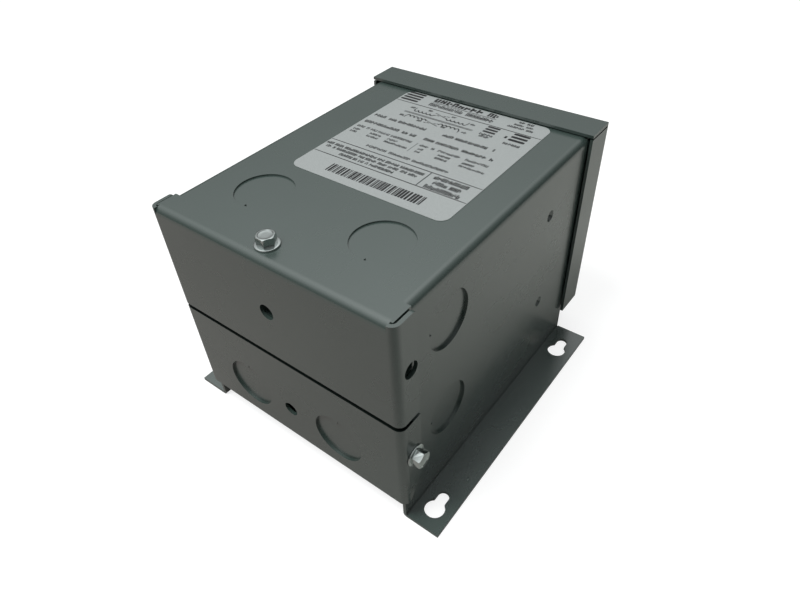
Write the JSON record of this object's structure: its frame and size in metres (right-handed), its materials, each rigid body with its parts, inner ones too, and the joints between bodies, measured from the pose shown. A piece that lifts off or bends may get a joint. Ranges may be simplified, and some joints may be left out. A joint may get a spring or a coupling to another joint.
{
  "type": "buck boost transformer",
  "caption": "Small potted dry-type transformer in a folded grey steel case with keyhole mounting flanges, a drip cap, knockouts and a screwed wiring cover.",
  "frame": {"origin": "middle of the footprint, on the mounting plane", "axes": "+Z out of the front face, +Y towards the top cap, +X to the right seen from the front with the wiring end down"},
  "size_m": [0.1336, 0.1408, 0.1074],
  "materials": {
    "case_paint": "grey-green baked enamel, satin to semi-gloss",
    "zinc_screw": "bright zinc plate",
    "ground_green": "green dyed zinc plate",
    "label_film": "silver-grey printed film",
    "core_steel": "oxide-blued silicon steel laminations",
    "weld_steel": "weld bead",
    "bobbin_nylon": "glass-filled nylon",
    "enamelled_copper": "enamelled copper wire",
    "insulation_paper": "aramid paper and tape",
    "potting_resin": "silica-filled potting resin",
    "lead_black": "flexible lead insulation",
    "lead_blue": "flexible lead insulation",
    "print_ink": "dark ink of the label's print"
  },
  "bodies": {
    "root": {"case_wrapper": "case_paint", "bottom_cover": "case_paint", "top_cap": "case_paint", "back_plate": "case_paint", "cover_screw_front": "zinc_screw", "cover_screw_left": "zinc_screw", "cover_screw_right": "zinc_screw", "core_bolts": "zinc_screw", "core_nuts": "zinc_screw", "ground_screw": "ground_green", "nameplate_label": "label_film", "core_e_laminations": "core_steel", "core_i_laminations": "core_steel", "core_welds": "weld_steel", "coil_bobbin": "bobbin_nylon", "primary_winding_inner": "enamelled_copper", "primary_winding_outer": "enamelled_copper", "secondary_winding_inner": "enamelled_copper", "secondary_winding_outer": "enamelled_copper", "winding_insulation": "insulation_paper", "coil_wrap": "insulation_paper", "potting_compound": "potting_resin", "lead_h1": "lead_black", "lead_h2": "lead_black", "lead_h3": "lead_black", "lead_h4": "lead_black", "lead_x1": "lead_blue", "lead_x2": "lead_blue", "lead_x3": "lead_blue", "lead_x4": "lead_blue"}
  },
  "joints": []
}
